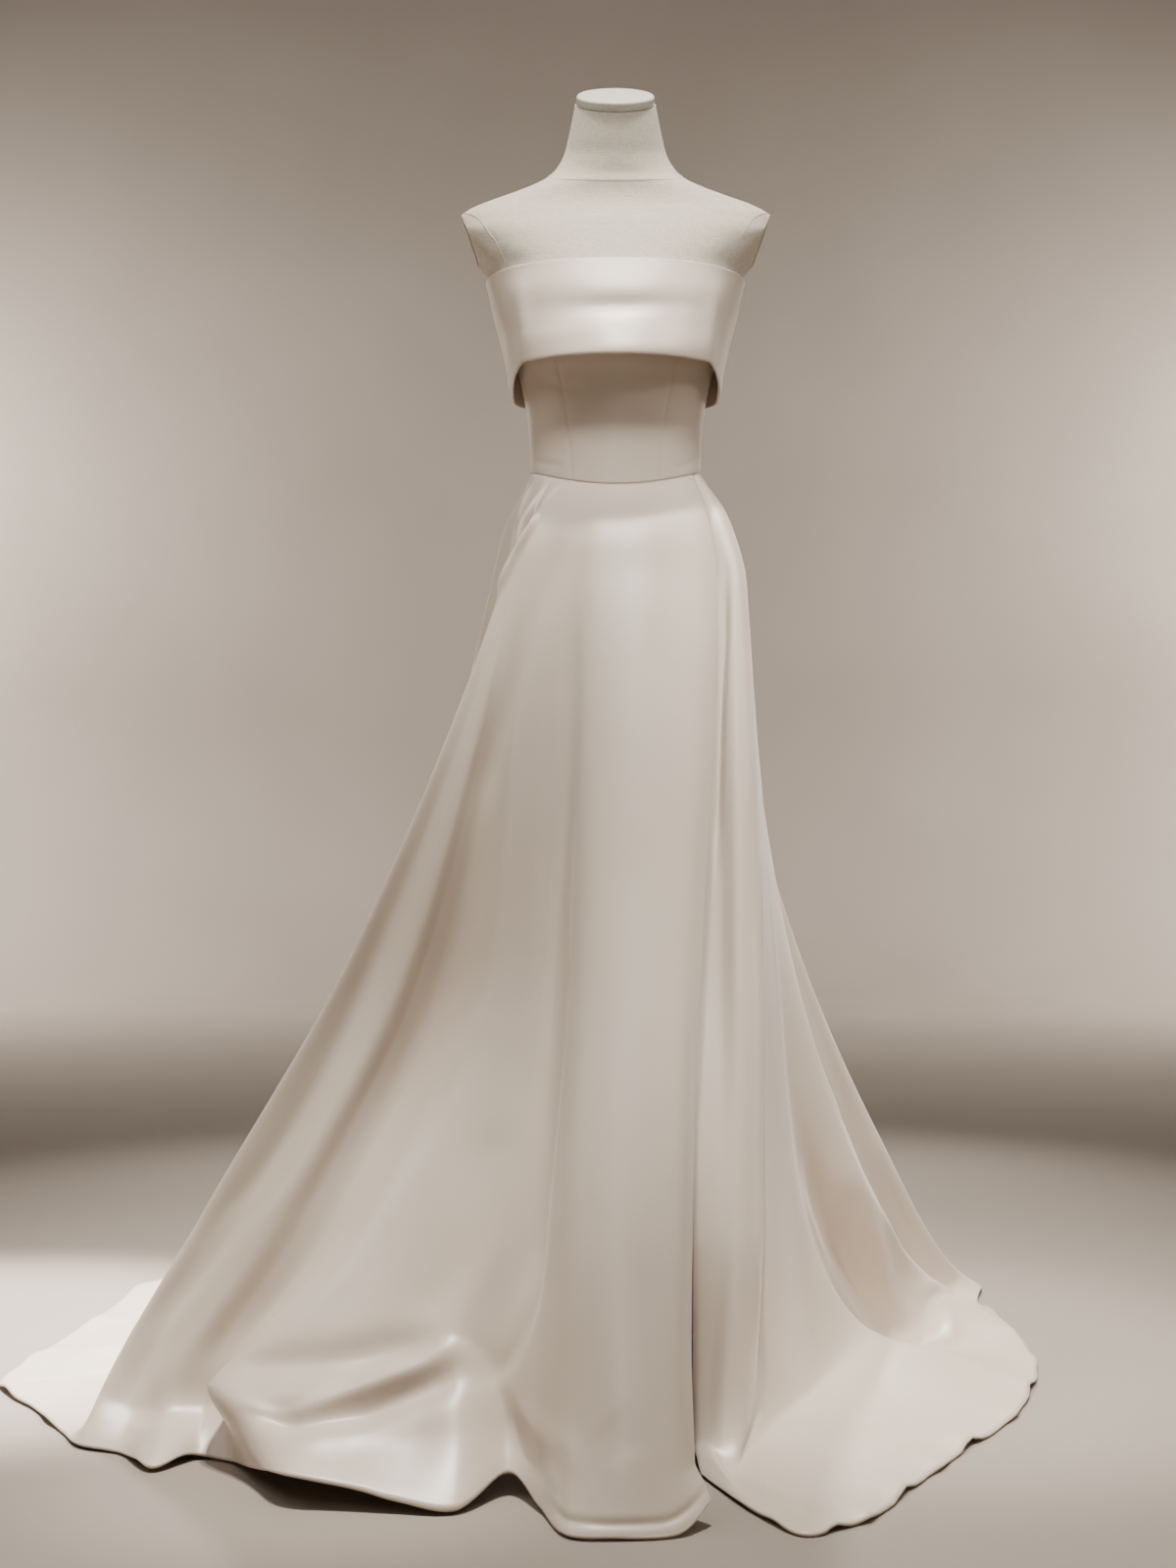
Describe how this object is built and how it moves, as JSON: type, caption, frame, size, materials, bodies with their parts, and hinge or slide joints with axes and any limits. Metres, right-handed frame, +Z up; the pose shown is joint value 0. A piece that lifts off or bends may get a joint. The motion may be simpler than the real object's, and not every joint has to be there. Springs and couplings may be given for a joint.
{
  "type": "a-line gown on a dress form",
  "caption": "Strapless a-line gown in heavy satin with a fold-over band, a fitted bodice, a slit skirt and a sweep train, on a limbless dress form with a floor stand.",
  "frame": {"origin": "middle of the floor base's underside, on the floor, below the form's vertical axis", "axes": "+Z up along the pole. The gown's front faces -Y, the train runs to +Y, and the skirt's slit is on the +X side."},
  "size_m": [1.3213, 1.4973, 1.653],
  "materials": {
    "ivory_satin": "heavy ivory duchess satin with a soft sheen",
    "cream_linen": "cream linen stretched over padding, matt",
    "painted_steel": "pale grey powder coat"
  },
  "bodies": {
    "root": {"bodice_centre_front": "ivory_satin", "bodice_side_front_left": "ivory_satin", "bodice_side_front_right": "ivory_satin", "bodice_side_back_left": "ivory_satin", "bodice_side_back_right": "ivory_satin", "bodice_back_left": "ivory_satin", "bodice_back_right": "ivory_satin", "band_front": "ivory_satin", "band_back": "ivory_satin", "skirt_front": "ivory_satin", "skirt_side": "ivory_satin", "skirt_back_left": "ivory_satin", "skirt_back_right": "ivory_satin", "form_torso": "cream_linen", "neck_cap": "cream_linen", "arm_plate_left": "cream_linen", "arm_plate_right": "cream_linen", "pole_flange": "painted_steel", "stand_pole": "painted_steel", "floor_base": "painted_steel"}
  },
  "joints": []
}
